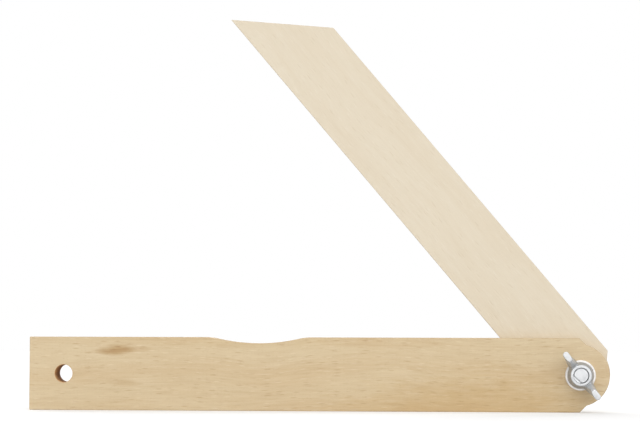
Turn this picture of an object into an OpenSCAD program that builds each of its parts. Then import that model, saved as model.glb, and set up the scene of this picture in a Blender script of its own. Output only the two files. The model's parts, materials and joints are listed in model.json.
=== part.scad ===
// Folding wooden bevel, in millimetres: a slotted stock, a blade that swings out of it on a carriage bolt,
// and a wing nut with a washer that clamps the blade at any angle.
// The origin is the middle of the hanging hole, halfway through the stock. +X runs along the middle of
// the stock to the pivot, +Z is up, and the wing nut is on the -Y side.

/* [Stock] */
// Length of the stock, from the tail end to the tip of the round nose
stock_length = 300; // [240:1:400]
// Width of the stock, and of the blade that folds flush into it
stock_width = 38; // [30:0.5:50]
// Thickness of each cheek of the stock
cheek_thickness = 5; // [4.5:0.1:9]

/* [Nose] */
// Depth of the shoulder that the round nose is set in by, on each edge
shoulder_depth = 3; // [1.5:0.1:4]
// Distance that the straight edge ends before the pivot
shoulder_setback = 0.5; // [0:0.1:4]
// Distance of the round nose's centre behind the pivot
nose_setback = 1; // [0:0.1:3]

/* [Hanging hole] */
// Diameter of the hole that the tool hangs by
hole_diameter = 9.2; // [5:0.1:14]
// Distance of the hole's middle from the tail end
hole_inset = 18; // [12:0.5:30]
// Wood left between the hole and the end of the slot
hole_wall = 2.9; // [2:0.1:20]

/* [Thumb scoop] */
// Distance of the scoop's middle from the tail end
scoop_inset = 119; // [80:1:150]
// Length of the scoop along the edge
scoop_length = 49; // [30:0.5:70]
// Depth of the scoop at its middle
scoop_depth = 3.15; // [1:0.05:6]
// Radius that eases the scoop's ends into the edge
scoop_easing = 24; // [4:1:40]

/* [Blade] */
// Thickness of the blade
blade_thickness = 5; // [3:0.1:8]
// Angle between the blade's end and its edges
mitre_angle = 45; // [30:1:75]
// Angle between the stock and the blade, as the tool is set
opening_angle = 49.8; // [0:0.1:180]

/* [Carriage bolt] */
// Outside diameter of the bolt's thread
bolt_diameter = 7.9; // [5.9:0.1:9.9]
// Length of thread that stands out of the nut
bolt_proud = 0.2; // [0.1:0.1:6]
// Height of the chamfer at the bolt's end
bolt_chamfer = 0.6; // [0.3:0.1:1.5]
// Diameter of the domed head
head_diameter = 20; // [16:0.1:24]
// Height of the domed head
head_height = 4.5; // [3:0.1:6]
// Height of the head's straight rim
head_rim = 0.7; // [0.3:0.1:1.2]
// Width of the square neck that keeps the bolt from turning
neck_width = 8.2; // [8:0.1:11]
// Length of the square neck
neck_length = 4; // [2:0.1:4.4]

/* [Washer] */
// Outside diameter of the washer
washer_diameter = 15.6; // [14:0.1:24]
// Hole diameter of the washer
washer_bore = 8.4; // [8.1:0.1:10.5]
// Thickness of the washer
washer_thickness = 1.6; // [1:0.1:2.5]
// Height of the rounded-off edge of the punched washer
washer_chamfer = 0.3; // [0.1:0.05:0.45]

/* [Wing nut] */
// Diameter of the nut's boss where it bears on the washer
boss_base = 13.8; // [12.2:0.1:15.5]
// Diameter of the boss at its top
boss_top = 10.8; // [10.4:0.1:12]
// Height of the boss, which is the length of its thread
boss_height = 8; // [6:0.1:12]
// Height of the broken edges of the boss
boss_chamfer = 0.5; // [0.2:0.1:0.8]
// Distance between the outer ends of the two wings
wing_span = 29.6; // [26:0.1:40]
// Height of the wings above the washer
wing_height = 16; // [14:0.1:22]
// Thickness of the wings at their ends
wing_thickness = 3.1; // [2:0.1:4]
// Thickness of the wings where they grow out of the boss
wing_root = 5; // [4:0.1:7]
// Length of the level top of each wing
wing_top = 6.2; // [4.5:0.1:7]
// Height at which the wing's lower edge meets its outer end
wing_heel = 9.4; // [6:0.1:11]
// Radius of the corners of a wing
wing_round = 1.5; // [0.6:0.1:2]
// Radius of the hollow between the top of a wing and the boss
wing_hollow = 10; // [7:0.5:40]
// Direction of the wings, counted from the stock's length
wing_direction = -53.2; // [-180:0.1:180]

/* [Fits] */
// Clearance on each side of the blade in the slot
slot_clearance = 0.1; // [0.05:0.05:0.4]
// Clearance between the blade's swinging tip and the end of the slot
tip_clearance = 0.8; // [0.3:0.1:3]
// Radial clearance of the blade on the bolt
pivot_clearance = 0.1; // [0.05:0.01:0.3]
// Radial clearance of the bolt in the cheeks
cheek_clearance = 0.15; // [0.1:0.01:0.4]
// Clearance on each side of the square neck in the rear cheek
neck_clearance = 0.05; // [0.02:0.01:0.2]
// Radial clearance of the nut on the bolt
thread_clearance = 0.08; // [0.05:0.01:0.2]

/* [Hidden] */
$fn = 96;
// A cut runs this far past the solid it is taken from, and joined shapes run this far into each other.
past = 0.3;
// Round shapes that blend into each other cross by this much instead of only touching.
cross = 0.02;

stock_colour = [0.83, 0.70, 0.52];
tail_colour = [0.78, 0.64, 0.46];
blade_colour = [0.89, 0.82, 0.70];
zinc_colour = [0.80, 0.81, 0.82];

half_width = stock_width / 2;
slot_width = blade_thickness + 2 * slot_clearance;
stock_thickness = slot_width + 2 * cheek_thickness;
tail_x = -hole_inset;

nose_radius = half_width - shoulder_depth;
pivot_x = stock_length - hole_inset - nose_radius + nose_setback;
// The shoulder leaves the edge at 45 degrees and runs to where it meets the round nose.
shoulder_rise = half_width - shoulder_setback;
nose_chord = sqrt(2 * pow(nose_radius, 2) - pow(shoulder_rise + nose_setback, 2));
shoulder_x = (shoulder_rise - nose_setback - nose_chord) / 2;
shoulder_end = shoulder_x + past;

slot_end = hole_diameter / 2 + hole_wall;
tail_length = hole_inset + slot_end;
// The blade's sharp corner turns on this radius, just short of the slot's end.
tip_sweep = pivot_x - slot_end - tip_clearance;
blade_long = sqrt(pow(tip_sweep, 2) - pow(half_width, 2));
blade_short = blade_long - stock_width / tan(mitre_angle);

scoop_x = scoop_inset - hole_inset;
scoop_radius = (pow(scoop_length / 2, 2) + pow(scoop_depth, 2)) / (2 * scoop_depth);
scoop_rise = scoop_radius - scoop_depth;
// The easing leaves the edge at ease_x from the scoop's middle, and runs into the scoop at touch_x.
ease_x = sqrt(pow(scoop_radius + scoop_easing, 2) - pow(scoop_rise + scoop_easing, 2));
touch_share = (scoop_radius - cross / 2) / (scoop_radius + scoop_easing);
touch_x = ease_x * touch_share;
touch_z = scoop_rise - (scoop_rise + scoop_easing) * touch_share;

bolt_length = stock_thickness + washer_thickness + boss_height + bolt_proud;
dome_height = head_height - head_rim;
dome_radius = (pow(head_diameter / 2, 2) + pow(dome_height, 2)) / (2 * dome_height);
nut_bore = bolt_diameter + 2 * thread_clearance;
wing_reach = wing_span / 2;

// A slat seen from the front, with the pivot at the origin and the body to the left. Its lower and upper
// edges run back by different lengths where the end is cut on the slant.
module slat(lower_length, upper_length) {
    polygon([
        [-lower_length, -half_width],
        [-shoulder_setback, -half_width],
        [shoulder_end, shoulder_end - shoulder_rise],
        [shoulder_end, shoulder_rise - shoulder_end],
        [-shoulder_setback, half_width],
        [-upper_length, half_width]
    ]);
    translate([-nose_setback, 0])
        circle(r = nose_radius);
}

// The hollow for a thumb, with the edge as its zero height: a shallow arc whose ends are eased into the edge.
module scoop() {
    translate([0, scoop_rise])
        circle(r = scoop_radius);
    difference() {
        polygon([
            [-ease_x, past],
            [-ease_x, 0],
            [-touch_x, touch_z],
            [touch_x, touch_z],
            [ease_x, 0],
            [ease_x, past]
        ]);
        for (side = [-1, 1])
            translate([side * ease_x, -scoop_easing])
                circle(r = scoop_easing + cross);
    }
}

// The outline of both cheeks: the slat with the hanging hole, the thumb scoop and the bolt's hole.
module cheek_outline() {
    difference() {
        translate([pivot_x, 0])
            slat(pivot_x - tail_x, pivot_x - tail_x);
        circle(d = hole_diameter);
        translate([scoop_x, half_width])
            scoop();
        translate([pivot_x, 0])
            circle(d = bolt_diameter + 2 * cheek_clearance);
    }
}

// Stands a flat outline upright, as a board from back_y forwards.
module board(thickness, back_y) {
    translate([0, back_y, 0])
        rotate([90, 0, 0])
            linear_extrude(thickness)
                children();
}

// Places a piece on the pivot's axis, with its own Z pointing forwards from back_y.
module on_pivot(back_y) {
    translate([pivot_x, back_y, 0])
        rotate([90, 0, 0])
            children();
}

module front_cheek() {
    color(stock_colour)
        board(cheek_thickness, -slot_width / 2)
            cheek_outline();
}

module rear_cheek() {
    neck_hole = neck_width + 2 * neck_clearance;
    color(stock_colour)
        difference() {
            board(cheek_thickness, stock_thickness / 2)
                cheek_outline();
            on_pivot(stock_thickness / 2 + past)
                translate([-neck_hole / 2, -neck_hole / 2, 0])
                    cube([neck_hole, neck_hole, neck_length + past]);
        }
}

module tail_block() {
    color(tail_colour)
        board(slot_width, slot_width / 2)
            difference() {
                translate([tail_x, -half_width])
                    square([tail_length, stock_width]);
                circle(d = hole_diameter);
            }
}

module blade() {
    color(blade_colour)
        translate([pivot_x, 0, 0])
            rotate([0, opening_angle, 0])
                board(blade_thickness, blade_thickness / 2)
                    difference() {
                        slat(blade_long, blade_short);
                        circle(d = bolt_diameter + 2 * pivot_clearance);
                    }
}

module carriage_bolt() {
    color(zinc_colour)
        on_pivot(stock_thickness / 2) {
            rotate_extrude()
                intersection() {
                    translate([0, dome_radius - head_height])
                        circle(r = dome_radius);
                    translate([0, -head_height])
                        square([head_diameter / 2, head_height]);
                }
            translate([-neck_width / 2, -neck_width / 2, -past])
                cube([neck_width, neck_width, neck_length + past]);
            rotate_extrude()
                polygon([
                    [0, -past],
                    [bolt_diameter / 2, -past],
                    [bolt_diameter / 2, bolt_length - bolt_chamfer],
                    [bolt_diameter / 2 - bolt_chamfer, bolt_length],
                    [0, bolt_length]
                ]);
        }
}

module washer() {
    outer = washer_diameter / 2;
    color(zinc_colour)
        on_pivot(-stock_thickness / 2)
            rotate_extrude()
                polygon([
                    [washer_bore / 2, 0],
                    [outer, 0],
                    [outer, washer_thickness - washer_chamfer],
                    [outer - washer_chamfer, washer_thickness],
                    [washer_bore / 2, washer_thickness]
                ]);
}

// One wing from the side, with the nut's axis on the left: a slanted lower edge, a rounded end, a level top,
// and a hollow that comes down from the top and ends inside the boss.
module wing_side() {
    top_start = wing_reach - wing_top;
    root = [boss_top / 2 - 2 * boss_chamfer, boss_height - 2 * boss_chamfer];
    lip = [top_start, wing_height - wing_round];
    chord = lip - root;
    half_chord = norm(chord) / 2;
    rise = sqrt(pow(wing_hollow, 2) - pow(half_chord, 2));
    hollow_centre = (root + lip) / 2 + rise * [-chord[1], chord[0]] / norm(chord);
    difference() {
        union() {
            polygon([
                [0, boss_chamfer],
                [boss_base / 2, boss_chamfer],
                [wing_reach, wing_heel],
                [wing_reach, wing_height - wing_round],
                [wing_reach - wing_round, wing_height],
                [top_start + wing_round, wing_height],
                lip,
                root,
                [0, root[1]]
            ]);
            for (x = [top_start + wing_round, wing_reach - wing_round])
                translate([x, wing_height - wing_round])
                    circle(r = wing_round);
        }
        translate(hollow_centre)
            circle(r = wing_hollow);
    }
}

// The wing from above: wide at the boss, slimmer outwards and round at its end.
module wing_plan() {
    neck_x = wing_reach - wing_top;
    half = wing_thickness / 2;
    polygon([
        [0, -wing_root / 2],
        [boss_top / 2, -wing_root / 2],
        [neck_x, -half],
        [wing_reach - half, -half],
        [wing_reach - half, half],
        [neck_x, half],
        [boss_top / 2, wing_root / 2],
        [0, wing_root / 2]
    ]);
    translate([wing_reach - half, 0])
        circle(r = half);
}

module wing() {
    intersection() {
        translate([0, wing_root, 0])
            rotate([90, 0, 0])
                linear_extrude(2 * wing_root)
                    wing_side();
        linear_extrude(wing_height + past)
            wing_plan();
    }
}

module boss() {
    rotate_extrude()
        polygon([
            [0, 0],
            [boss_base / 2 - boss_chamfer, 0],
            [boss_base / 2, boss_chamfer],
            [boss_top / 2, boss_height - boss_chamfer],
            [boss_top / 2 - boss_chamfer, boss_height],
            [0, boss_height]
        ]);
}

module wing_nut() {
    color(zinc_colour)
        on_pivot(-stock_thickness / 2 - washer_thickness)
            rotate([0, 0, wing_direction])
                difference() {
                    union() {
                        boss();
                        for (turn = [0, 180])
                            rotate([0, 0, turn])
                                wing();
                    }
                    translate([0, 0, -past])
                        cylinder(d = nut_bore, h = wing_height + 2 * past);
                }
}

front_cheek();
rear_cheek();
tail_block();
blade();
carriage_bolt();
washer();
wing_nut();
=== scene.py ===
"""A folding wooden bevel: its pieces, their finishes and a plain studio stage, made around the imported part.

The file is laid out as an add-on. Run as a script, it makes every piece in order. Lengths are in metres.
"""
import json
import math

import bmesh
import bpy
from bpy.props import FloatProperty, FloatVectorProperty, PointerProperty
from mathutils import Matrix, Quaternion, Vector


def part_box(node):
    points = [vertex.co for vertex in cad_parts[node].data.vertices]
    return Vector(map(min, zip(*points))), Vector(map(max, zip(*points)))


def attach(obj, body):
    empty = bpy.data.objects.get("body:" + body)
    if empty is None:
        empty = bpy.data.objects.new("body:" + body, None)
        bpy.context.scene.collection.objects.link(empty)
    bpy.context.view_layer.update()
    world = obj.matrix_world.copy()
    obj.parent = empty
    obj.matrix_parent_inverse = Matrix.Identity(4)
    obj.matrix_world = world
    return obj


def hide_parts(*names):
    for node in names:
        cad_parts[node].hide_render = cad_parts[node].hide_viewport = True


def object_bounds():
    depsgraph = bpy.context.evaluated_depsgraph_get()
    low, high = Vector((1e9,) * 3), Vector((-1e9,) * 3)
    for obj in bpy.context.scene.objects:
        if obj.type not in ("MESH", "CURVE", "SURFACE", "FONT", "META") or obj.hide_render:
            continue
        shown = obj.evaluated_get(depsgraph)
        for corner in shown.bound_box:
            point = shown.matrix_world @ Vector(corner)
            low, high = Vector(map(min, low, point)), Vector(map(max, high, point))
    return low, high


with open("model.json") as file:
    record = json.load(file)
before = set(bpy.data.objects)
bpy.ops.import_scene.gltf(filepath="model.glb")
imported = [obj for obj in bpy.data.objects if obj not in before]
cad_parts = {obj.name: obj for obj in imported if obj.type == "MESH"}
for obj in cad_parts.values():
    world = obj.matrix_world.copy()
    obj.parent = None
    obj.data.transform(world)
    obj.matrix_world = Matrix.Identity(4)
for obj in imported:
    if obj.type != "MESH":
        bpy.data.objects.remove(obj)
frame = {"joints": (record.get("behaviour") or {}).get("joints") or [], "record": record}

bl_info = {
    "name": "Folding wooden bevel",
    "version": (1, 0, 0),
    "blender": (4, 5, 0),
    "location": "3D View > Sidebar > Bevel",
    "description": "Makes a folding wooden bevel with a wing nut, its finishes and a studio stage",
    "category": "Object",
}

MM = 0.001
CAD_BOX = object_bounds()

FRONT_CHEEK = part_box("front_cheek")
REAR_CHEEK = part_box("rear_cheek")
TAIL_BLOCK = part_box("tail_block")
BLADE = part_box("blade")
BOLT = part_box("carriage_bolt")
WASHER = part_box("washer")
WING_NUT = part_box("wing_nut")
JOINTS = {joint["name"]: joint for joint in frame["joints"]}
MOUNTS = {mount["name"]: mount for mount in frame["record"]["mounts"]}
PIVOT = Vector(JOINTS["blade_pivot"]["pos_m"])
HANGING_HOLE = Vector(MOUNTS["hanging_hole"]["pos_m"])

# An edge where two faces meet at more than this counts as an arris.
ARRIS_ANGLE = math.radians(30)
# Faces that meet at less than this are shaded as one round surface.
SMOOTH_ANGLE = math.radians(32)
# Two points closer than this are the same point.
NEAR = 0.01 * MM
# A cutter runs this far past the face that it opens.
PAST = 1 * MM
# A piece may stand this far proud of the solid that it replaces.
PROUD = 0.1 * MM
# The rims of the stock's holes lie this close to the middles of the holes.
HOLE_REACH = 7 * MM
# A turned or drilled surface has this many sides, and a drawn arc a point at each of these angles.
ROUND_SIDES = 96
ARC_ANGLE = math.radians(2.5)
FEWEST_ARC_STEPS = 8

# Each face of a wooden piece holds here how squarely it cuts across the grain.
END_GRAIN = "end_grain"
# And here how near the middle of a rounded arris it lies.
WORN = "worn"
# The tree grew by this much in a year, and its grain wanders by this much to each side.
YEAR = 2.4 * MM
SWAY = 5 * MM
# Where each board was sawn: the middle of the growth rings beside it, and its place in the log's figure.
SAWN = {
    "front_cheek": ((0, 0.07, -0.05), (0, 0, 0)),
    "rear_cheek": ((0, -0.06, 0.08), (0.61, 0.23, 0.37)),
    "tail_block": ((0, 0.03, -0.09), (0.2, 0.8, 0.5)),
    "blade": ((0, 0.08, 0.02), PIVOT),
}
# How many cells of each pattern a metre of wood holds: along the grain, through the board and across it.
SWAY_CELLS = (14, 40, 25)
CLOUD_CELLS = (11, 60, 110)
STREAK_CELLS = (60, 420, 420)
FIBRE_CELLS = (30, 1300, 1300)
HAIR_CELLS = (90, 4200, 4200)
PORE_CELLS = (520, 4300, 4300)
LINE_CELLS = (140, 950, 950)
FLECK_CELLS = (150, 950, 950)
RING_CELLS = (20, 90, 90)
WEAR_CELLS = (60, 150, 150)
STAIN_CELLS = (110, 600, 600)
# The flecks are read this far away from the lines, so that they don't fall on them.
FLECK_SHIFT = (3.1, 1.7, 0.9)
# The hanging hole's wall darkens between these two depths, counted from the middle of the stock.
WALL_LIGHT, WALL_DARK = -6.5 * MM, 2.5 * MM
# How many cells of the zinc plate's clouds and grit a metre holds.
ZINC_CLOUD_CELLS = (300, 300, 300)
ZINC_GRIT_CELLS = (4000, 4000, 4000)

# Where each lamp shines from, and how wide it spreads, in degrees.
LAMPS = {
    "key": ((0.40, -1.0, 1.0), 75),
    "front": ((-0.05, -1.0, 0.3), 70),
    "back": ((-0.4, 1.0, 0.7), 60),
}
FLOOR_SIZE = 8
# The camera's lens belongs to a sensor of this width, in millimetres.
SENSOR_WIDTH = 36


def span(box, axis):
    """The size of a box along one axis."""
    return box[1][axis] - box[0][axis]


def srgb(red, green, blue):
    """A colour as seen on a screen, from 0 to 255, as the linear values that shaders use."""
    return tuple(
        c / 12.92 if c <= 0.04045 else ((c + 0.055) / 1.055) ** 2.4
        for c in (red / 255, green / 255, blue / 255)
    )


def length(name, description, default):
    return FloatProperty(name=name, description=description, default=default, unit="LENGTH", precision=5)


def angle(name, description, default):
    return FloatProperty(name=name, description=description, default=default, subtype="ANGLE",
                         unit="ROTATION")


def share(name, description, default):
    return FloatProperty(name=name, description=description, default=default, min=0, max=1,
                         subtype="FACTOR")


def amount(name, description, default):
    return FloatProperty(name=name, description=description, default=default, min=0)


def colour(name, description, default):
    return FloatVectorProperty(name=name, description=description, default=default, size=3, min=0, max=1,
                               subtype="COLOR")


class StockSizes(bpy.types.PropertyGroup):
    """Sizes of the slotted stock."""
    width: length("Width", "Width of the stock and of the blade", span(FRONT_CHEEK, 2))
    shoulder_depth: length("Shoulder depth", "How far the nose is set in on each edge", 3 * MM)
    shoulder_setback: length("Shoulder setback", "How far before the pivot the edge ends", 0.5 * MM)
    nose_setback: length("Nose setback", "How far behind the pivot the round nose has its centre", 1 * MM)
    hole_radius: length("Hole radius", "Radius of the hanging hole",
                        MOUNTS["hanging_hole"]["dims"]["r_mm"] * MM)
    bolt_hole: length("Bolt hole", "Diameter of the bolt's hole in the cheeks", 8.2 * MM)
    neck_hole: length("Neck hole", "Width of the square hole in the rear cheek", 8.3 * MM)
    neck_depth: length("Neck depth", "Depth of the square hole in the rear cheek", 4 * MM)
    scoop_inset: length("Scoop inset", "Distance of the thumb scoop's middle from the tail end", 119 * MM)
    scoop_length: length("Scoop length", "Length of the thumb scoop", 49 * MM)
    scoop_depth: length("Scoop depth", "Depth of the thumb scoop", 3.15 * MM)
    scoop_easing: length("Scoop easing", "How far the scoop's ends are sanded round", 3 * MM)
    arris: length("Arris", "How far the outer arrises are sanded round", 0.45 * MM)
    hole_arris: length("Hole arris", "How far the rims of the drilled holes are broken", 0.15 * MM)
    seam: length("Seam", "Depth of the fine glue line on each side of the tail block", 0.08 * MM)


class BladeSizes(bpy.types.PropertyGroup):
    """Sizes of the mitred blade."""
    long_edge: length("Long edge", "Length of the longer edge, from the pivot to the sharp tip", 258 * MM)
    mitre: angle("Mitre", "Angle between the end and the edges", math.radians(45))
    opening: angle("Opening", "Angle between stock and blade",
                   -math.radians(JOINTS["blade_pivot"]["range_deg"][0]))
    bolt_hole: length("Bolt hole", "Diameter of the hole for the bolt", 8.1 * MM)
    arris: length("Arris", "How far the arrises are sanded round", 0.35 * MM)


class BoltSizes(bpy.types.PropertyGroup):
    """Sizes of the carriage bolt."""
    diameter: length("Diameter", "Outside diameter of the thread", 7.9 * MM)
    pitch: length("Pitch", "Advance of the thread in one turn", 1.25 * MM)
    thread_depth: length("Thread depth", "Depth of the thread's groove", 0.68 * MM)
    thread_length: length("Thread length", "Length of the thread from the bolt's end", 17 * MM)
    chamfer: length("Chamfer", "How far the bolt's end is turned down", 0.5 * MM)
    chamfer_length: length("Chamfer length", "Length of the turned down end", 0.8 * MM)
    nick_depth: length("Nick depth", "Depth of the nick that the saw left on the bolt's end", 0.9 * MM)
    nick_offset: length("Nick offset", "Distance of the nick from the middle of the bolt", 2.35 * MM)
    nick_slope: angle("Nick slope", "Slope of the nick's floor, up to the rim", math.radians(15))
    nick_direction: angle("Nick direction", "Direction of the nick, counted from the stock's length",
                          math.radians(229))
    head_rim: length("Head rim", "Height of the head's straight rim", 0.7 * MM)
    neck_width: length("Neck width", "Width of the square neck", 8.2 * MM)
    neck_length: length("Neck length", "Length of the square neck", 4 * MM)


class WasherSizes(bpy.types.PropertyGroup):
    """Sizes of the plain washer."""
    bore: length("Bore", "Diameter of the washer's hole", 8.4 * MM)
    rounding: length("Rounding", "Rounded edge on the punched side", 0.3 * MM)


class NutSizes(bpy.types.PropertyGroup):
    """Sizes of the wing nut."""
    bore: length("Bore", "Diameter of the nut's hole", 8.06 * MM)
    boss_base: length("Boss base", "Diameter of the boss on the washer", 13.8 * MM)
    boss_top: length("Boss top", "Diameter of the boss at its top", 10.8 * MM)
    boss_height: length("Boss height", "Height of the boss", 8 * MM)
    boss_chamfer: length("Boss chamfer", "Broken edge of the boss", 0.5 * MM)
    wing_span: length("Wing span", "Distance between the outer ends of the wings", 29.6 * MM)
    wing_root: length("Wing root", "Thickness of a wing where it grows out of the boss", 5 * MM)
    wing_thickness: length("Wing thickness", "Thickness of a wing at its end", 3.1 * MM)
    wing_top: length("Wing top", "Length of the level top of a wing", 6.2 * MM)
    wing_heel: length("Wing heel", "Height where a wing's lower edge meets its outer end", 9.4 * MM)
    rounding: length("Rounding", "Rounding of the level rims", 0.3 * MM)
    bore_rounding: length("Bore rounding", "Rounding of the bore's edges", 0.06 * MM)
    top_crease: share("Top crease", "How firmly the corners that rise to a wing's top are held", 0.35)
    direction: angle("Direction", "Direction of the wings, counted from the stock's length",
                     math.radians(-53.2))


class WoodLook(bpy.types.PropertyGroup):
    """Colours of the two woods."""
    stock: colour("Stock", "Main tone of the beech stock", srgb(219, 199, 163))
    stock_warm: colour("Stock, warm", "Warmer tone in the stock's figure", srgb(215, 192, 154))
    stock_line: colour("Stock, lines", "Tone of the darker grain lines", srgb(182, 148, 106))
    stock_fleck: colour("Stock, flecks", "Tone of the pale flecks", srgb(232, 215, 185))
    stock_grain: share("Stock grain", "How strongly the stock's lines and flecks show", 0.9)
    # Amber is a warmer, darker tone painted along the stock's lower edge towards the nose and along its top
    # edge, and is the tail block's warmer tone.
    amber: colour("Amber", "Tone of the warmer heartwood along the lower edge", srgb(208, 181, 136))
    stain: colour("Stain", "Tone of the brown stain near the tail end", srgb(186, 152, 104))
    bore_rim: colour("Bore, rim", "Tone of the hanging hole's wall next to the front", srgb(208, 166, 116))
    bore: colour("Bore", "Tone of the hanging hole's wall inside", srgb(164, 122, 83))
    blade: colour("Blade", "Main tone of the pale blade", srgb(228, 216, 194))
    blade_warm: colour("Blade, warm", "Warmer tone in the blade", srgb(226, 213, 190))
    blade_line: colour("Blade, lines", "Tone of the blade's grain lines", srgb(204, 184, 154))
    blade_fleck: colour("Blade, flecks", "Tone of the blade's pale flecks", srgb(240, 231, 215))
    blade_grain: share("Blade grain", "How strongly the blade's lines and flecks show", 0.45)
    roughness: share("Roughness", "Roughness of the planed wood", 0.55)


class ZincLook(bpy.types.PropertyGroup):
    """Colours of the zinc plate."""
    bright: colour("Bright", "Tone of the bright plate", (0.60, 0.61, 0.62))
    dull: colour("Dull", "Tone of the duller patches", (0.48, 0.49, 0.505))
    # Painted light: a brighter, pinker copy of the zinc plate that stands in for the highlight on the
    # washer's rim.
    washer: colour("Washer", "Tone of the washer's bright plate", (0.74, 0.715, 0.69))
    # Painted shade: a darker tone laid on the wing nut's boss cone and low between its wings.
    painted_shade: colour("Recess", "Tone where no finger rubs the wing nut", (0.42, 0.43, 0.435))
    roughness: share("Roughness", "Roughness of the satin plate", 0.46)


class StageSettings(bpy.types.PropertyGroup):
    """Camera, lamps and floor."""
    camera_place: FloatVectorProperty(name="Camera place", description="Where the camera stands", size=3,
                                      default=(0.214689, -1.205449, 0.020299), subtype="XYZ", unit="LENGTH")
    camera_yaw: angle("Camera yaw", "Turn of the view to the right", math.radians(-3.892))
    camera_pitch: angle("Camera pitch", "Tilt of the view upwards", math.radians(2.928))
    camera_roll: angle("Camera roll", "Turn of the view about its own line", math.radians(0.167))
    lens: FloatProperty(name="Lens", description="Focal length in millimetres", default=130.734,
                        unit="CAMERA")
    floor: colour("Floor", "Tone of the floor", (0.82, 0.82, 0.82))
    glow: amount("Floor glow", "Light that the floor adds for the camera", 0.27)
    sky: amount("Sky", "Strength of the even light from all round", 0.36)
    key: amount("Key lamp", "Strength of the main lamp, above at the right", 0.95)
    front: amount("Front lamp", "Strength of the wide lamp near the camera", 1.08)
    back: amount("Back lamp", "Strength of the lamp behind", 1.7)


class BevelSettings(bpy.types.PropertyGroup):
    """All settings of the bevel."""
    stock: PointerProperty(type=StockSizes)
    blade: PointerProperty(type=BladeSizes)
    bolt: PointerProperty(type=BoltSizes)
    washer: PointerProperty(type=WasherSizes)
    nut: PointerProperty(type=NutSizes)
    wood: PointerProperty(type=WoodLook)
    zinc: PointerProperty(type=ZincLook)
    stage: PointerProperty(type=StageSettings)


class Value:
    """An output of a shader node. Arithmetic on it adds Math nodes to its finish."""

    def __init__(self, finish, socket):
        self.finish = finish
        self.socket = socket

    def math(self, operation, *values):
        return self.finish.node("ShaderNodeMath", {"operation": operation}, dict(enumerate(values)))

    def __add__(self, other):
        return self.math("ADD", self, other)

    def __radd__(self, other):
        return self.math("ADD", other, self)

    def __sub__(self, other):
        return self.math("SUBTRACT", self, other)

    def __rsub__(self, other):
        return self.math("SUBTRACT", other, self)

    def __mul__(self, other):
        return self.math("MULTIPLY", self, other)

    def __rmul__(self, other):
        return self.math("MULTIPLY", other, self)


class Finish:
    """A node tree that is written as expressions: of a material, or of the world."""

    def __init__(self, name, owner=None):
        self.owner = owner or bpy.data.materials.new(name)
        self.owner.use_nodes = True
        self.tree = self.owner.node_tree
        self.tree.nodes.clear()

    def node(self, kind, settings=None, inputs=None, output=0):
        """Adds a node, sets it up, gives its sockets values or links, and returns one of its outputs."""
        node = self.tree.nodes.new(kind)
        for name, value in (settings or {}).items():
            setattr(node, name, value)
        by_identifier = {socket.identifier: socket for socket in node.inputs}
        for key, value in (inputs or {}).items():
            socket = node.inputs[key] if isinstance(key, int) else by_identifier[key]
            if isinstance(value, Value):
                self.tree.links.new(value.socket, socket)
            else:
                socket.default_value = value
        if not node.outputs:
            return None
        return Value(self, node.outputs[output])

    def vector(self, operation, first, second=(0, 0, 0), output=0):
        return self.node("ShaderNodeVectorMath", {"operation": operation}, {0: first, 1: second}, output)

    def distance(self, vector, axes):
        """The length of a vector, counted along the axes that aren't 0."""
        return self.vector("LENGTH", self.vector("MULTIPLY", vector, axes), output=1)

    def attribute(self, name):
        """A number that the piece's own faces hold."""
        return self.node("ShaderNodeAttribute", {"attribute_name": name}, output="Fac")

    def noise(self, place, per_metre, detail=2.0, roughness=0.5):
        """Noise whose cells number so many in a metre along each axis."""
        scaled = self.vector("MULTIPLY", place, per_metre)
        return self.node("ShaderNodeTexNoise", None,
                         {"Vector": scaled, "Scale": 1.0, "Detail": detail, "Roughness": roughness})

    def dashes(self, place, per_metre):
        """Short separate dashes, one in a cell at most, of uneven strength."""
        scaled = self.vector("MULTIPLY", place, per_metre)
        cell = {"Vector": scaled, "Scale": 1.0}
        away = self.node("ShaderNodeTexVoronoi", None, cell, "Distance")
        chance = self.node("ShaderNodeSeparateColor", None,
                           {0: self.node("ShaderNodeTexVoronoi", None, cell, "Color")}, "Red")
        return self.ease(away, 0.36, 0.1) * self.ease(chance, 0.15, 0.95)

    def ease(self, value, low, high):
        """0 below low, 1 above high, and smooth between them. Low may be the greater."""
        return self.node("ShaderNodeMapRange", {"interpolation_type": "SMOOTHSTEP"},
                         {"Value": value, "From Min": low, "From Max": high})

    def mix(self, factor, first, second, blend="MIX"):
        return self.node("ShaderNodeMix", {"data_type": "RGBA", "blend_type": blend},
                         {"Factor_Float": factor, "A_Color": opaque(first), "B_Color": opaque(second)}, 2)

    def surface(self, shader):
        self.node("ShaderNodeOutputMaterial", None, {"Surface": shader})
        return self.owner


def opaque(tone):
    """A colour of three values with its alpha added. A linked colour stays as it is."""
    return tone if isinstance(tone, Value) else (*tone, 1.0)


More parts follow.
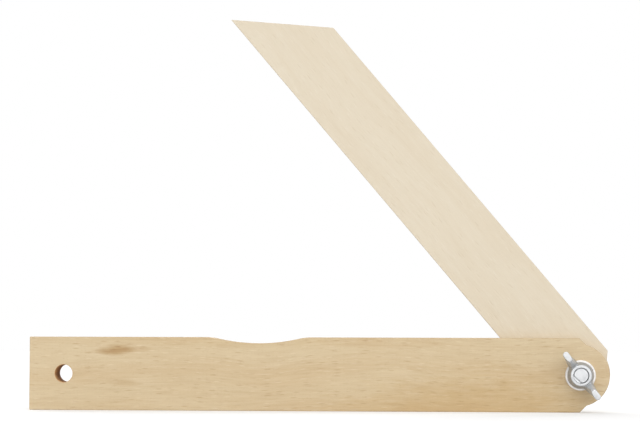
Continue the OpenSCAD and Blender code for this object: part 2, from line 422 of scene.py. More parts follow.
def wood(name, tones, strength, roughness, pith, place=(0, 0, 0), turn=0.0, marks=None):
    """Planed beech: a faint wavy figure along the grain, dark vessel lines, pale flecks and fine pores.

    The grain runs along X, after the turn, and place is the point of the log that the board is cut from.
    The growth rings lie round pith, beside the board, and show where it is cut across the grain.
    """
    main, warm, line, fleck = tones
    finish = Finish(name)
    spot = finish.node("ShaderNodeTexCoord", output="Object")
    log = finish.node("ShaderNodeMapping", {"vector_type": "TEXTURE"},
                      {"Vector": spot, "Location": place, "Rotation": (0, turn, 0)})
    sway = (finish.noise(log, SWAY_CELLS, detail=1) - 0.5) * (2 * SWAY)
    grain = finish.vector("ADD", log, finish.node("ShaderNodeCombineXYZ", None, {"Z": sway}))
    clouds = finish.noise(grain, CLOUD_CELLS)
    streaks = finish.noise(grain, STREAK_CELLS)
    fibres = finish.noise(grain, FIBRE_CELLS, detail=3, roughness=0.6)
    hairs = finish.noise(grain, HAIR_CELLS, roughness=0.6)
    pores = finish.dashes(grain, PORE_CELLS)
    lines = finish.dashes(grain, LINE_CELLS)
    flecks = finish.dashes(finish.vector("ADD", grain, FLECK_SHIFT), FLECK_CELLS)

    tone = finish.mix(finish.ease(clouds, 0.35, 0.7), main, warm)
    # Each pattern of the planed face, how much of it shows at full strength, and its tone.
    for pattern, shown, tint in (
        (finish.ease(streaks, 0.5, 0.75), 0.17, line),
        (finish.ease(streaks, 0.5, 0.25), 0.26, fleck),
        (finish.ease(fibres, 0.4, 0.8), 0.2, line),
        (lines, 0.5, line),
        (flecks, 0.55, fleck),
        (finish.ease(hairs, 0.4, 0.8), 0.2, line),
        (pores, 0.4, line),
    ):
        tone = finish.mix(pattern * (shown * strength), tone, tint)
    # Across the grain the wood is darker all over, and darkest where a year's growth ends.
    end_grain = finish.ease(finish.attribute(END_GRAIN), 0.5, 1.0)
    from_pith = finish.vector("SUBTRACT", log, Vector(pith) - Vector(place))
    years = finish.distance(from_pith, (0, 1, 1)) * (1 / YEAR) + finish.noise(log, RING_CELLS)
    year = years.math("FRACT", years)
    late_wood = finish.ease(year, 0.3, 0.9) * finish.ease(year, 1.0, 0.93)
    tone = finish.mix(end_grain * (0.3 + late_wood * 0.4), tone, line)
    # Handling has darkened and polished the arrises in places.
    worn = finish.attribute(WORN) * finish.ease(finish.noise(log, WEAR_CELLS), 0.3, 0.65)
    tone = finish.mix(worn * 0.4, tone, line)
    rough = roughness + (fibres - 0.5) * 0.18 + pores * 0.1 - worn * 0.15
    if marks:
        tone, rough = marks(finish, spot, tone, rough)

    height = fibres * 0.2 + hairs * 0.15 - pores * 0.3 - lines
    normal = finish.node("ShaderNodeBump", None, {"Strength": 0.4, "Distance": 0.1 * MM, "Height": height})
    shader = finish.node("ShaderNodeBsdfPrincipled", None, {
        "Base Color": tone, "Roughness": rough, "Specular IOR Level": 0.3, "Normal": normal})
    return finish.surface(shader)


def zinc(name, look, bright, painted_shade=None):
    """Bright zinc plate: satin metal with faint clouds and a fine grain, and painted shade in its recesses
    where a mask for it is given.
    """
    finish = Finish(name)
    place = finish.node("ShaderNodeTexCoord", output="Object")
    clouds = finish.noise(place, ZINC_CLOUD_CELLS, detail=4, roughness=0.6)
    grit = finish.noise(place, ZINC_GRIT_CELLS, detail=3, roughness=0.6)
    tone = finish.mix(finish.ease(clouds, 0.4, 0.75) * 0.6, bright, look.dull)
    rough = look.roughness + (clouds - 0.5) * 0.25 + (grit - 0.5) * 0.12
    # Painted shade darkens the masked recesses, which are also made a little rougher.
    if painted_shade:
        shade_mask = painted_shade(finish, place)
        tone = finish.mix(shade_mask, tone, look.painted_shade)
        rough = rough + shade_mask * 0.08
    normal = finish.node("ShaderNodeBump", None, {"Strength": 0.12, "Distance": 0.03 * MM, "Height": grit})
    shader = finish.node("ShaderNodeBsdfPrincipled", None,
                         {"Base Color": tone, "Metallic": 0.7, "Roughness": rough, "Normal": normal})
    return finish.surface(shader)


def deselect():
    if bpy.context.mode != "OBJECT":
        bpy.ops.object.mode_set(mode="OBJECT")
    bpy.ops.object.select_all(action="DESELECT")


def select_only(piece):
    deselect()
    piece.select_set(True)
    bpy.context.view_layer.objects.active = piece


def edit(piece):
    select_only(piece)
    bpy.ops.object.mode_set(mode="EDIT")
    bpy.ops.mesh.select_mode(type="VERT")


def primitive(name, kind, **shape):
    """Adds a primitive at its size and place. Its place goes into its mesh."""
    deselect()
    getattr(bpy.ops.mesh, f"primitive_{kind}_add")(**shape)
    piece = bpy.context.object
    piece.name = piece.data.name = name
    bpy.ops.object.transform_apply()
    return piece


def pick(piece, kind, test):
    """In edit mode, selects only the vertices, edges or faces that pass a test."""
    bpy.ops.mesh.select_mode(type=kind)
    bpy.ops.mesh.select_all(action="DESELECT")
    mesh = bmesh.from_edit_mesh(piece.data)
    parts = {"VERT": mesh.verts, "EDGE": mesh.edges, "FACE": mesh.faces}[kind]
    chosen = [part for part in parts if test(part)]
    if not chosen:
        raise RuntimeError(f"{piece.name}: no {kind.lower()} passes the test")
    for part in chosen:
        part.select_set(True)
    mesh.select_flush_mode()
    bmesh.update_edit_mesh(piece.data)


def pick_all():
    bpy.ops.mesh.select_all(action="SELECT")


def round_off(offset, segments):
    """In edit mode, bevels the edges that are picked."""
    bpy.ops.mesh.bevel(offset=offset, segments=segments, affect="EDGES", clamp_overlap=True)


def extrude(move):
    """In edit mode, extrudes what is picked and moves it."""
    bpy.ops.mesh.extrude_region_move(TRANSFORM_OT_translate={"value": move})


def lies_at(part, axis, place):
    """Whether an edge or a face lies wholly at one place along an axis."""
    return all(abs(vert.co[axis] - place) < NEAR for vert in part.verts)


def is_arris(edge):
    return edge.is_manifold and edge.calc_face_angle() > ARRIS_ANGLE


def is_at_hole(edge):
    """Whether an edge is the rim of the hanging hole or of the bolt's hole."""
    first = edge.verts[0].co
    return min((first - hole).xz.length for hole in (HANGING_HOLE, PIVOT)) < HOLE_REACH


def is_tail_corner(edge, tail):
    """Whether an edge runs through the stock at a corner of its tail end."""
    first, last = edge.verts
    return abs(first.co.x - tail) < NEAR and (first.co - last.co).xz.length < NEAR


def weld():
    """In edit mode, merges double points and turns every face outwards."""
    pick_all()
    bpy.ops.mesh.remove_doubles(threshold=NEAR / 2)
    bpy.ops.mesh.normals_make_consistent(inside=False)


def apply_modifier(piece, kind, **settings):
    select_only(piece)
    modifier = piece.modifiers.new(kind.title(), kind)
    for name, value in settings.items():
        setattr(modifier, name, value)
    bpy.ops.object.modifier_apply(modifier=modifier.name)


def combine(piece, tool, operation):
    """Cuts a piece with a tool solid, or joins the two, and welds the cut's crumbs. The tool is used up."""
    apply_modifier(piece, "BOOLEAN", operation=operation, object=tool, solver="EXACT")
    bpy.data.objects.remove(tool)
    edit(piece)
    weld()
    bpy.ops.mesh.dissolve_degenerate(threshold=NEAR / 2)
    select_only(piece)


def drill(piece, x, z, radius, low, high):
    """Cuts a round hole along Y, between two depths."""
    drill_bit = primitive("drill_bit", "cylinder", vertices=ROUND_SIDES, radius=radius, depth=high - low,
                          location=(x, (low + high) / 2, z), rotation=(math.pi / 2, 0, 0))
    combine(piece, drill_bit, "DIFFERENCE")


def draw(name, start, strokes, y=0.0):
    """Draws an outline in a plane across Y: lines are extruded to a point, and arcs are spun on a centre.

    A stroke is ("line", x, z) or ("arc", centre x, centre z, angle). Seen from the front, a positive angle
    turns counterclockwise.
    """
    here = Vector((start[0], y, start[1]))
    piece = primitive(name, "plane", size=1 * MM, location=here)
    edit(piece)
    pick_all()
    bpy.ops.mesh.merge(type="CENTER")
    for kind, x, z, *turn in strokes:
        point = Vector((x, y, z))
        if kind == "line":
            extrude(point - here)
            here = point
        else:
            steps = max(FEWEST_ARC_STEPS, round(abs(turn[0]) / ARC_ANGLE))
            bpy.ops.mesh.spin(steps=steps, angle=turn[0], center=point, axis=(0, 1, 0))
            here = point + Matrix.Rotation(-turn[0], 3, "Y") @ (here - point)
    return piece


def board(name, start, strokes, front, back):
    """A flat board: an outline drawn on its front face, filled and extruded to its back."""
    piece = draw(name, start, strokes, front)
    pick_all()
    bpy.ops.mesh.remove_doubles(threshold=NEAR)
    bpy.ops.mesh.edge_face_add()
    extrude((0, back - front, 0))
    weld()
    deselect()
    return piece


def lathe(name, start, strokes):
    """A turned piece: a profile of radius and height, spun about Z."""
    piece = draw(name, start, strokes)
    pick_all()
    bpy.ops.mesh.spin(steps=ROUND_SIDES, angle=2 * math.pi, center=(0, 0, 0), axis=(0, 0, 1))
    weld()
    deselect()
    return piece


def nose_strokes(stock, pivot_x):
    """The shouldered round nose, from the lower straight edge to the upper one."""
    half = stock.width / 2
    radius = half - stock.shoulder_depth
    rise = half - stock.shoulder_setback
    meet = (rise - stock.nose_setback - math.sqrt(2 * radius**2 - (rise + stock.nose_setback)**2)) / 2
    sweep = 2 * math.atan2(rise - meet, meet + stock.nose_setback)
    return [
        ("line", pivot_x - stock.shoulder_setback, -half),
        ("line", pivot_x + meet, meet - rise),
        ("arc", pivot_x - stock.nose_setback, 0, sweep),
        ("line", pivot_x - stock.shoulder_setback, half),
    ]


def on_pivot(piece, y, turn=0.0):
    """Stands a piece that was turned about Z on the pivot, with its top to the front."""
    select_only(piece)
    piece.matrix_world = (
        Matrix.Translation((PIVOT.x, y, PIVOT.z))
        @ Matrix.Rotation(math.pi / 2, 4, "X")
        @ Matrix.Rotation(turn, 4, "Z")
    )
    bpy.ops.object.transform_apply()


def smooth_faces(piece):
    """Splits the many-sided faces evenly, then shades what is round as smooth and what is flat as flat."""
    edit(piece)
    bpy.ops.mesh.select_all(action="DESELECT")
    bpy.ops.mesh.select_mode(type="FACE")
    bpy.ops.mesh.select_face_by_sides(number=4, type="GREATER")
    bpy.ops.mesh.quads_convert_to_tris(ngon_method="BEAUTY")
    select_only(piece)
    bpy.ops.object.shade_smooth_by_angle(angle=SMOOTH_ANGLE)
    apply_modifier(piece, "WEIGHTED_NORMAL", keep_sharp=True, weight=100)


def hand_over(piece, node, body, material):
    """Gives a finished piece its material, seats it on its body and hides the solid that it stands for."""
    low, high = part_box(node)
    corners = [Vector(corner) for corner in piece.bound_box]
    for axis in range(3):
        places = [corner[axis] for corner in corners]
        least, most = min(places), max(places)
        if least < low[axis] - PROUD or most > high[axis] + PROUD:
            raise RuntimeError(f"{piece.name} reaches past {node}: {least} to {most} on axis {axis}")
    piece.data.materials.clear()
    piece.data.materials.append(material)
    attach(piece, body)
    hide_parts(node)


def mark_faces(piece, along):
    """Stores on each face of a board how squarely it cuts the grain, and how near an arris it lies."""
    cuts = piece.data.attributes.new(END_GRAIN, "FLOAT", "FACE")
    arrises = piece.data.attributes.new(WORN, "FLOAT", "FACE")
    for face in piece.data.polygons:
        cuts.data[face.index].value = abs(face.normal.dot(along))
        # The face in the middle of a rounded arris is tilted by 45 degrees.
        tilt = math.asin(min(1, abs(face.normal.y)))
        arrises.data[face.index].value = 1 - abs(4 * tilt / math.pi - 1)


def front_spots(look, front):
    """The tinted places on the front cheek: tone, strength, middle and half sizes in mm, tilt in degrees."""
    return (
        (look.amber, 0.30, (85, front, 19), (90, 8, 6), 0),
        (look.amber, 0.90, (206, front, -24), (80, 16, 27), -5),
        (look.stain, 0.76, (27.6, front, 12.2), (9.8, 3, 3.0), -3),
        (look.stain, 0.30, (25.4, front, 11.2), (6.0, 3, 1.6), -2),
        (look.stain, 0.34, (37.0, front, 12.7), (10.0, 2, 1.6), 0),
        (look.stain, 0.25, (20.0, front, 11.6), (4.5, 2, 2.0), 0),
        (look.stain, 0.30, (30.5, front, -4.6), (9.0, 2, 2.0), 5),
    )


def stock_marks(look, hole_radius, spots=()):
    """Paints tinted places on the stock, and the hanging hole's wall darker, the darker the further in it
    lies.
    """

    def paint(finish, spot, tone, rough):
        ragged = finish.noise(spot, STAIN_CELLS, detail=3)
        for tint, strength, middle, half, tilt in spots:
            local = finish.node("ShaderNodeMapping", {"vector_type": "TEXTURE"}, {
                "Vector": spot, "Location": Vector(middle) * MM, "Rotation": (0, math.radians(tilt), 0),
                "Scale": Vector(half) * MM})
            reach = finish.vector("LENGTH", local, output=1)
            covered = finish.ease(reach + (ragged - 0.5) * 0.9, 1.2, 0.3) * strength
            darker = [part / plain for part, plain in zip(tint, look.stock)]
            tone = finish.mix(covered, tone, darker, "MULTIPLY")
        from_hole = finish.vector("SUBTRACT", spot, HANGING_HOLE)
        depth = finish.node("ShaderNodeSeparateXYZ", None, {0: from_hole}, "Y")
        wall = finish.mix(finish.ease(depth, WALL_LIGHT, WALL_DARK), look.bore_rim, look.bore)
        away = finish.distance(from_hole, (1, 0, 1))
        bored = finish.ease(away, hole_radius + 0.3 * MM, hole_radius + 0.1 * MM)
        return finish.mix(bored, tone, wall), rough + bored * 0.5

    return paint


def stock_wood(piece, node, settings, spots=(), tones=None):
    """The beech of one of the stock's boards."""
    look = settings.wood
    tones = tones or (look.stock, look.stock_warm, look.stock_line, look.stock_fleck)
    marks = stock_marks(look, settings.stock.hole_radius, spots)
    return wood(f"{piece.name}_beech", tones, look.stock_grain, look.roughness, *SAWN[node], marks=marks)


class BEVEL_OT_cheeks(bpy.types.Operator):
    """Make the front and rear cheeks of the stock"""
    bl_idname = "folding_bevel.cheeks"
    bl_label = "Cheeks"

    def execute(self, context):
        settings = context.scene.folding_bevel
        stock = settings.stock
        half = stock.width / 2
        tail = FRONT_CHEEK[0].x
        scoop_x = tail + stock.scoop_inset
        scoop_radius = ((stock.scoop_length / 2)**2 + stock.scoop_depth**2) / (2 * stock.scoop_depth)
        scoop_half = math.asin(stock.scoop_length / 2 / scoop_radius)
        outline = [
            *nose_strokes(stock, PIVOT.x),
            ("line", scoop_x + stock.scoop_length / 2, half),
            ("arc", scoop_x, half - stock.scoop_depth + scoop_radius, -2 * scoop_half),
            ("line", tail, half),
            ("line", tail, -half),
        ]
        for name, node, (low, high), outer in (
            ("planed_front_cheek", "front_cheek", FRONT_CHEEK, FRONT_CHEEK[0].y),
            ("planed_rear_cheek", "rear_cheek", REAR_CHEEK, REAR_CHEEK[1].y),
        ):
            cheek = board(name, (tail, -half), outline, low.y, high.y)
            drill(cheek, HANGING_HOLE.x, HANGING_HOLE.z, stock.hole_radius, low.y - PAST, high.y + PAST)
            drill(cheek, PIVOT.x, PIVOT.z, stock.bolt_hole / 2, low.y - PAST, high.y + PAST)
            if node == "rear_cheek":
                depth = stock.neck_depth + PAST
                punch = primitive("punch", "cube", size=1, scale=(stock.neck_hole, depth, stock.neck_hole),
                                  location=(PIVOT.x, outer + PAST - depth / 2, PIVOT.z))
                combine(cheek, punch, "DIFFERENCE")
            edit(cheek)
            pick(cheek, "EDGE", lambda edge: all(
                abs(abs(vert.co.x - scoop_x) - stock.scoop_length / 2) < NEAR and vert.co.z > half - NEAR
                for vert in edge.verts))
            round_off(stock.scoop_easing, 6)
            for at_hole, rounding in ((False, stock.arris), (True, stock.hole_arris)):
                pick(cheek, "EDGE", lambda edge: is_arris(edge) and at_hole == is_at_hole(edge) and (
                    is_tail_corner(edge, tail) or lies_at(edge, 1, outer)))
                round_off(rounding, 3)
            smooth_faces(cheek)
            mark_faces(cheek, Vector((1, 0, 0)))
            spots = front_spots(settings.wood, outer / MM) if node == "front_cheek" else ()
            hand_over(cheek, node, "stock", stock_wood(cheek, node, settings, spots))
        return {"FINISHED"}


class BEVEL_OT_tail_block(bpy.types.Operator):
    """Make the block that is glued between the cheeks"""
    bl_idname = "folding_bevel.tail_block"
    bl_label = "Tail block"

    def execute(self, context):
        settings = context.scene.folding_bevel
        stock = settings.stock
        low, high = TAIL_BLOCK
        corners = (high.x, low.z), (high.x, high.z), (low.x, high.z), (low.x, low.z)
        outline = [("line", *corner) for corner in corners]
        block = board("glued_tail_block", (low.x, low.z), outline, low.y, high.y)
        drill(block, HANGING_HOLE.x, HANGING_HOLE.z, stock.hole_radius, low.y - PAST, high.y + PAST)
        edit(block)
        pick(block, "EDGE", lambda edge: is_arris(edge) and is_tail_corner(edge, low.x))
        round_off(stock.arris, 3)
        pick(block, "EDGE", lambda edge: is_arris(edge) and not is_at_hole(edge))
        round_off(stock.seam, 1)
        smooth_faces(block)
        mark_faces(block, Vector((1, 0, 0)))
        look = settings.wood
        tones = look.stock_warm, look.amber, look.stock_line, look.stock_fleck
        finish = stock_wood(block, "tail_block", settings, tones=tones)
        hand_over(block, "tail_block", "stock", finish)
        return {"FINISHED"}


class BEVEL_OT_blade(bpy.types.Operator):
    """Make the mitred blade at its opened angle"""
    bl_idname = "folding_bevel.blade"
    bl_label = "Blade"

    def execute(self, context):
        settings = context.scene.folding_bevel
        stock, sizes, look = settings.stock, settings.blade, settings.wood
        half = stock.width / 2
        low, high = BLADE
        tip = PIVOT.x - sizes.long_edge
        short_end = tip + stock.width / math.tan(sizes.mitre)
        outline = [*nose_strokes(stock, PIVOT.x), ("line", short_end, half), ("line", tip, -half)]
        blade = board("mitred_blade", (tip, -half), outline, low.y, high.y)
        drill(blade, PIVOT.x, PIVOT.z, sizes.bolt_hole / 2, low.y - PAST, high.y + PAST)
        edit(blade)
        pick(blade, "EDGE", is_arris)
        round_off(sizes.arris, 3)
        select_only(blade)
        blade.matrix_world = (
            Matrix.Translation(PIVOT) @ Matrix.Rotation(sizes.opening, 4, "Y") @ Matrix.Translation(-PIVOT)
        )
        bpy.ops.object.transform_apply()
        smooth_faces(blade)
        mark_faces(blade, Matrix.Rotation(sizes.opening, 3, "Y") @ Vector((1, 0, 0)))
        tones = look.blade, look.blade_warm, look.blade_line, look.blade_fleck
        finish = wood("mitred_blade_beech", tones, look.blade_grain, look.roughness, *SAWN["blade"],
                      sizes.opening)
        hand_over(blade, "blade", "blade", finish)
        return {"FINISHED"}


class BEVEL_OT_carriage_bolt(bpy.types.Operator):
    """Make the carriage bolt with its domed head, square neck and cut thread"""
    bl_idname = "folding_bevel.carriage_bolt"
    bl_label = "Carriage bolt"

    def execute(self, context):
        settings = context.scene.folding_bevel
        sizes = settings.bolt
        rear = REAR_CHEEK[1].y
        radius = sizes.diameter / 2
        end = rear - BOLT[0].y
        head_radius = span(BOLT, 0) / 2
        head_height = BOLT[1].y - rear
        dome_height = head_height - sizes.head_rim
        dome_radius = (head_radius**2 + dome_height**2) / (2 * dome_height)
        profile = [
            ("arc", 0, dome_radius - head_height, math.asin(head_radius / dome_radius)),
            ("line", head_radius, 0),
            ("line", radius, 0),
            ("line", radius, end - sizes.chamfer_length),
            ("line", radius - sizes.chamfer, end),
            ("line", 0, end),
        ]
        bolt = lathe("threaded_carriage_bolt", (0, -head_height), profile)
        neck_height = sizes.neck_length + sizes.head_rim / 2
        neck = primitive("neck", "cube", size=1, scale=(sizes.neck_width, sizes.neck_width, neck_height),
                         location=(0, 0, sizes.neck_length - neck_height / 2))
        combine(bolt, neck, "UNION")
        combine(bolt, self.thread_cutter(sizes, end), "DIFFERENCE")
        combine(bolt, self.nick_cutter(sizes, end), "DIFFERENCE")
        edit(bolt)
        pick(bolt, "EDGE", lambda edge: 1 == sum(lies_at(face, 2, end) for face in edge.link_faces))
        bpy.ops.mesh.mark_sharp()
        on_pivot(bolt, rear)
        smooth_faces(bolt)
        plate = zinc("bolt_zinc", settings.zinc, settings.zinc.bright)
        hand_over(bolt, "carriage_bolt", "stock", plate)
        return {"FINISHED"}

    def nick_cutter(self, sizes, end):
        """A block whose lower edge bites into the bolt's end, on one side of its middle."""
        slope, size = sizes.nick_slope, sizes.diameter
        along, up = math.cos(slope) - math.sin(slope), math.cos(slope) + math.sin(slope)
        away = sizes.nick_offset + sizes.nick_depth * math.tan(slope) + size / 2 * along
        middle = Matrix.Rotation(sizes.nick_direction, 3, "Z") @ Vector((away, 0, 0))
        middle.z = end - sizes.nick_depth + size / 2 * up
        turn = (0, -slope, sizes.nick_direction)
        return primitive("nick", "cube", size=size, location=middle, rotation=turn)

    def thread_cutter(self, sizes, end):
        """A three-sided groove that winds along the thread and out past the bolt's end."""
        radius = sizes.diameter / 2
        outside = 0.1 * MM
        flank = math.radians(30)
        half_root = sizes.pitch / 16
        half_top = half_root + (sizes.thread_depth + outside) * math.tan(flank)
        start = end - sizes.thread_length
        turns = math.ceil(sizes.thread_length / sizes.pitch) + 1
        root = radius - sizes.thread_depth
        groove = draw("groove", (root, start - half_root), [
            ("line", radius + outside, start - half_top),
            ("line", radius + outside, start + half_top),
            ("line", root, start + half_root),
            ("line", root, start - half_root),
        ])
        pick_all()
        bpy.ops.mesh.remove_doubles(threshold=NEAR)
        steps = ROUND_SIDES // 2
        apply_modifier(groove, "SCREW", axis="Z", angle=2 * math.pi, screw_offset=sizes.pitch,
                       iterations=turns, steps=steps, render_steps=steps, use_smooth_shade=False)
        edit(groove)
        pick_all()
        bpy.ops.mesh.fill_holes(sides=0)
        weld()
        deselect()
        return groove


class BEVEL_OT_washer(bpy.types.Operator):
    """Make the plain punched washer"""
    bl_idname = "folding_bevel.washer"
    bl_label = "Washer"

    def execute(self, context):
        settings = context.scene.folding_bevel
        sizes = settings.washer
        outer = span(WASHER, 0) / 2
        inner = sizes.bore / 2
        thick = span(WASHER, 1)
        profile = [("line", outer, 0), ("line", outer, thick), ("line", inner, thick), ("line", inner, 0)]
        washer = lathe("punched_washer", (inner, 0), profile)
        edit(washer)
        pick(washer, "EDGE", lambda edge: is_arris(edge) and lies_at(edge, 2, thick))
        round_off(sizes.rounding, 4)
        on_pivot(washer, WASHER[1].y)
        smooth_faces(washer)
        # The washer gets the brighter copy of the plate, painted light for the highlight on its rim.
        plate = zinc("washer_zinc", settings.zinc, settings.zinc.washer)
        hand_over(washer, "washer", "washer", plate)
        return {"FINISHED"}


def nut_painted_shade(sizes):
    """Tells where shade is painted on the wing nut: on the cone of its boss, and low between its wings."""

    def shade_mask(finish, place):
        from_seat = finish.vector("SUBTRACT", place, (PIVOT.x, WING_NUT[1].y, PIVOT.z))
        forward = finish.node("ShaderNodeSeparateXYZ", None, {0: from_seat}, "Y")
        away = finish.distance(from_seat, (1, 0, 1))
        above, below = 1.1 * sizes.boss_height, 0.95 * sizes.boss_height
        rim = sizes.boss_top / 2
        return finish.ease(forward, -above, -below) * finish.ease(away, rim - sizes.boss_chamfer, rim)

    return shade_mask


class BEVEL_OT_wing_nut(bpy.types.Operator):
    """Make the cast wing nut"""
    bl_idname = "folding_bevel.wing_nut"
    bl_label = "Wing nut"
    # The boss is cast from a cage with this many sides.
    sides = 16
    # A row of points lies this far behind the outer end of a wing and holds its round form.
    row_gap = 1.9 * MM
    # The points of a row, and the middles of a section's faces, are found within this of their places.
    row_reach = 0.9 * MM
    face_reach = 0.6 * MM
    # An edge that rises to a wing's top lies this far under it at most, and at least this much of it is rise.
    top_reach = 2 * MM
    least_rise = 0.7

    def execute(self, context):
        settings = context.scene.folding_bevel
        sizes = settings.nut
        # A subdivided ring settles inside the corners of its cage by this share.
        swell = 3 / (2 + math.cos(2 * math.pi / self.sides))
        nut = self.boss(sizes, swell)
        for side in (1, -1):
            self.grow_wing(nut, sizes, side)
        weld()
        bore = sizes.bore / 2 * swell
        for in_bore, rounding in ((False, sizes.rounding), (True, sizes.bore_rounding)):
            pick(nut, "EDGE", lambda edge: is_arris(edge) and self.is_rim(edge, sizes) and in_bore == all(
                abs(vert.co.xy.length - bore) < NEAR for vert in edge.verts))
            round_off(rounding, 2)
        pick(nut, "EDGE", lambda edge: is_arris(edge) and self.is_under_top(edge, sizes))
        bpy.ops.transform.edge_crease(value=sizes.top_crease)
        apply_modifier(nut, "SUBSURF", levels=2, render_levels=2)
        on_pivot(nut, WING_NUT[1].y, sizes.direction)
        smooth_faces(nut)
        # The nut's plate gets painted shade on its boss's cone and low between its wings.
        plate = zinc("wing_nut_zinc", settings.zinc, settings.zinc.bright, nut_painted_shade(sizes))
        hand_over(nut, "wing_nut", "wing_nut", plate)
        return {"FINISHED"}

    def is_rim(self, edge, sizes):
        """Whether an edge lies on a level rim: of the boss, of its bore, or of a wing's top."""
        return any(lies_at(edge, 2, level) for level in (0, sizes.boss_height, span(WING_NUT, 1)))

    def is_under_top(self, edge, sizes):
        """Whether an edge rises to the inner end of a wing's level top."""
        first, last = edge.verts
        run, middle = last.co - first.co, (first.co + last.co) / 2
        from_end = sizes.wing_span / 2 - abs(middle.x)
        at_inner_end = abs(from_end - sizes.wing_top) < self.row_reach
        near_top = middle.z > span(WING_NUT, 1) - self.top_reach
        return at_inner_end and near_top and abs(run.z) > self.least_rise * run.length

    def holding_levels(self, sizes):
        """The heights of the rings that hold the boss's edges. The wings grow from between them."""
        hold = 2.4 * sizes.boss_chamfer
        return hold, 2 * hold, sizes.boss_height - 0.5 * hold

    def boss(self, sizes, swell):
        """The cage of the conical boss, with its bore and the rings that hold its edges."""
        height = sizes.boss_height
        base = sizes.boss_base / 2 * swell
        top = sizes.boss_top / 2 * swell
        nut = primitive("cast_wing_nut", "cylinder", vertices=self.sides, radius=base, depth=height,
                        location=(0, 0, height / 2), rotation=(0, 0, math.pi / 2))
        edit(nut)
        pick(nut, "VERT", lambda vert: vert.co.z > height - NEAR)
        bpy.ops.transform.resize(value=(top / base, top / base, 1), center_override=(0, 0, height))
        for level in self.holding_levels(sizes):
            pick_all()
            bpy.ops.mesh.bisect(plane_co=(0, 0, level), plane_no=(0, 0, 1))
        bore = sizes.bore / 2 * swell
        for level, radius in ((0, base), (height, top)):
            pick(nut, "FACE", lambda face: len(face.verts) == self.sides and lies_at(face, 2, level))
            bpy.ops.mesh.inset(thickness=(radius - bore) * math.cos(math.pi / self.sides))
        pick(nut, "FACE", lambda face: len(face.verts) == self.sides)
        bpy.ops.mesh.bridge_edge_loops()
        return nut

    def grow_wing(self, nut, sizes, side):
        """Extrudes one wing out of two sides of the boss, section by section, from its root to its level top.

        A section is a strip with three rows of points: an outer one, one that lies close behind it and holds
        the wing's round end, and an inner one.
        """
        reach, height = sizes.wing_span / 2, span(WING_NUT, 1)
        top_start = reach - sizes.wing_top
        base, rim, boss = sizes.boss_base / 2, sizes.boss_top / 2, sizes.boss_height
        heel, foot = sizes.wing_heel, sizes.boss_chamfer
        slant = (heel - foot) / (reach - base)
        root, end = sizes.wing_root, sizes.wing_thickness
        neck, crown = 0.72 * root, 0.28 * end
        # Each section's outer point and inner point, its thickness, and how far its outer end is rounded.
        low, middle, brow = self.holding_levels(sizes)
        sections = (
            (base + 1.2 * MM, low + 0.4 * MM, rim + 0.95 * MM, boss + 0.05 * MM, root, 0),
            (base + 4.1 * MM, foot + 4.1 * MM * slant, rim + 2 * MM, boss + 2.4 * MM, neck, crown / 2),
            (reach - 0.9 * MM, heel - 0.9 * MM * slant, top_start - 0.6 * MM, height - 2.8 * MM, end, crown),
            (reach, heel + 1.6 * MM, top_start - 0.05 * MM, height - 1.4 * MM, end, crown),
            (reach, height, top_start + 0.6 * MM, height, end, crown),
        )
        rows = [Vector((side * x, 0, z)) for x, z in ((base, low), (base, middle), (rim, brow))]
        width = root
        pick(nut, "FACE", lambda face: side * face.normal.x > 0.9 and low < face.calc_center_median().z < brow
             and side * face.calc_center_median().x > sizes.bore / 2)
        for outer_x, outer_z, inner_x, inner_z, thickness, rounding in sections:
            # A third of the rounding is lost again when the end is subdivided.
            outer = Vector((side * (outer_x - 2 / 3 * rounding), 0, outer_z))
            inner = Vector((side * inner_x, 0, inner_z))
            behind = outer + self.row_gap * (inner - outer).normalized()
            goals = [outer, behind, inner]
            shift = outer - rows[0]
            extrude(shift)
            for old, goal in zip(rows, goals):
                pick(nut, "VERT", lambda vert: (vert.co - old - shift).xz.length < self.row_reach)
                bpy.ops.transform.resize(value=(0, thickness / width, 0), center_override=goal)
            if rounding:
                pick(nut, "VERT", lambda vert: (vert.co - outer).length < NEAR)
                bpy.ops.transform.translate(value=(side * rounding, 0, 0))
            rows, width = goals, thickness
            centres = (outer + behind) / 2, (behind + inner) / 2
            pick(nut, "FACE", lambda face: abs(face.normal.y) < 0.5 and any(
                (face.calc_center_median() - centre).xz.length < self.face_reach for centre in centres))


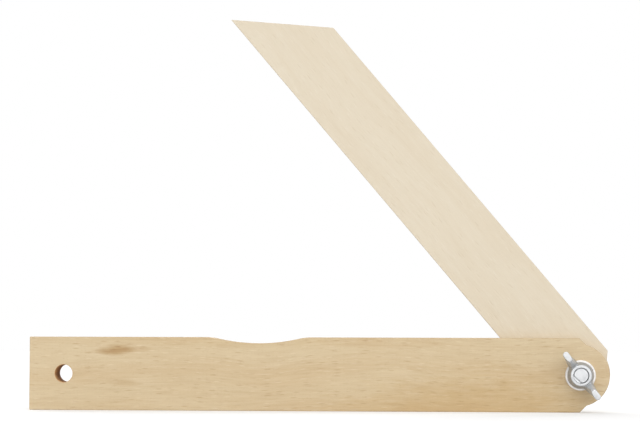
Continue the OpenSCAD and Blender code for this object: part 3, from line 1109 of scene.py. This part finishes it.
class BEVEL_OT_stage(bpy.types.Operator):
    """Make the floor, the lamps, the background and the camera"""
    bl_idname = "folding_bevel.stage"
    bl_label = "Stage"

    def execute(self, context):
        scene = context.scene
        settings = scene.folding_bevel.stage
        self.floor(settings)
        self.sky(scene, settings)
        for name, (place, spread) in LAMPS.items():
            self.lamp(f"{name}_lamp", place, spread, getattr(settings, name))
        self.camera(scene, settings)
        scene.view_settings.view_transform = "Standard"
        return {"FINISHED"}

    def seen(self, finish):
        """1 for rays that the camera, a reflection or clear matter sends, and 0 for light on the object."""
        camera, glossy, clear = (
            finish.node("ShaderNodeLightPath", output=name)
            for name in ("Is Camera Ray", "Is Glossy Ray", "Is Transmission Ray")
        )
        return camera.math("MAXIMUM", camera.math("MAXIMUM", camera, glossy), clear)

    def floor(self, settings):
        floor = primitive("floor", "plane", size=FLOOR_SIZE, location=(0, 0, CAD_BOX[0].z))
        finish = Finish("floor_paper")
        paper = finish.node("ShaderNodeBsdfDiffuse", None, {"Color": opaque(settings.floor)})
        glow = finish.node("ShaderNodeEmission", None, {"Strength": self.seen(finish) * settings.glow})
        both = finish.node("ShaderNodeAddShader", None, {0: paper, 1: glow})
        floor.data.materials.append(finish.surface(both))

    def sky(self, scene, settings):
        scene.world = bpy.data.worlds.new("studio")
        finish = Finish("studio", scene.world)
        strength = settings.sky + self.seen(finish) * (1 - settings.sky)
        light = finish.node("ShaderNodeBackground", None, {"Color": (1, 1, 1, 1), "Strength": strength})
        finish.node("ShaderNodeOutputWorld", None, {"Surface": light})

    def lamp(self, name, place, spread, strength):
        """A far lamp that lights the whole floor evenly. Its spread, in degrees, makes the shadows soft."""
        deselect()
        turn = (-Vector(place)).to_track_quat("-Z", "Y").to_euler()
        bpy.ops.object.light_add(type="SUN", location=place, rotation=turn)
        lamp = bpy.context.object
        lamp.name = name
        lamp.data.angle = math.radians(spread)
        lamp.data.energy = strength

    def camera(self, scene, settings):
        yaw, pitch = settings.camera_yaw, settings.camera_pitch
        level = math.cos(pitch)
        forward = Vector((math.sin(yaw) * level, math.cos(yaw) * level, math.sin(pitch)))
        roll = Quaternion((0, 0, 1), settings.camera_roll)
        deselect()
        bpy.ops.object.camera_add(location=settings.camera_place,
                                  rotation=(forward.to_track_quat("-Z", "Y") @ roll).to_euler())
        scene.camera = bpy.context.object
        scene.camera.data.sensor_width = SENSOR_WIDTH
        scene.camera.data.lens = settings.lens


PIECES = (
    BEVEL_OT_cheeks, BEVEL_OT_tail_block, BEVEL_OT_blade, BEVEL_OT_carriage_bolt, BEVEL_OT_washer,
    BEVEL_OT_wing_nut, BEVEL_OT_stage,
)


class BEVEL_PT_tools(bpy.types.Panel):
    """Lists the steps that make the bevel, and its settings"""
    bl_label = "Folding bevel"
    bl_space_type = "VIEW_3D"
    bl_region_type = "UI"
    bl_category = "Bevel"

    def draw(self, context):
        settings = context.scene.folding_bevel
        for piece in PIECES:
            self.layout.operator(piece.bl_idname)
        for group in settings.bl_rna.properties:
            if group.type == "POINTER" and group.identifier != "rna_type":
                box = self.layout.box()
                box.label(text=group.identifier.title())
                part = getattr(settings, group.identifier)
                for item in part.bl_rna.properties:
                    if item.identifier not in ("rna_type", "name"):
                        box.prop(part, item.identifier)


CLASSES = (
    StockSizes, BladeSizes, BoltSizes, WasherSizes, NutSizes, WoodLook, ZincLook, StageSettings,
    BevelSettings, *PIECES, BEVEL_PT_tools,
)


def register():
    for cls in CLASSES:
        bpy.utils.register_class(cls)
    bpy.types.Scene.folding_bevel = PointerProperty(type=BevelSettings)


def unregister():
    del bpy.types.Scene.folding_bevel
    for cls in reversed(CLASSES):
        bpy.utils.unregister_class(cls)


def main():
    register()
    bpy.ops.folding_bevel.cheeks()
    bpy.ops.folding_bevel.tail_block()
    bpy.ops.folding_bevel.blade()
    bpy.ops.folding_bevel.carriage_bolt()
    bpy.ops.folding_bevel.washer()
    bpy.ops.folding_bevel.wing_nut()
    bpy.ops.folding_bevel.stage()
    deselect()
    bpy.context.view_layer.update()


if __name__ == "__main__":
    main()
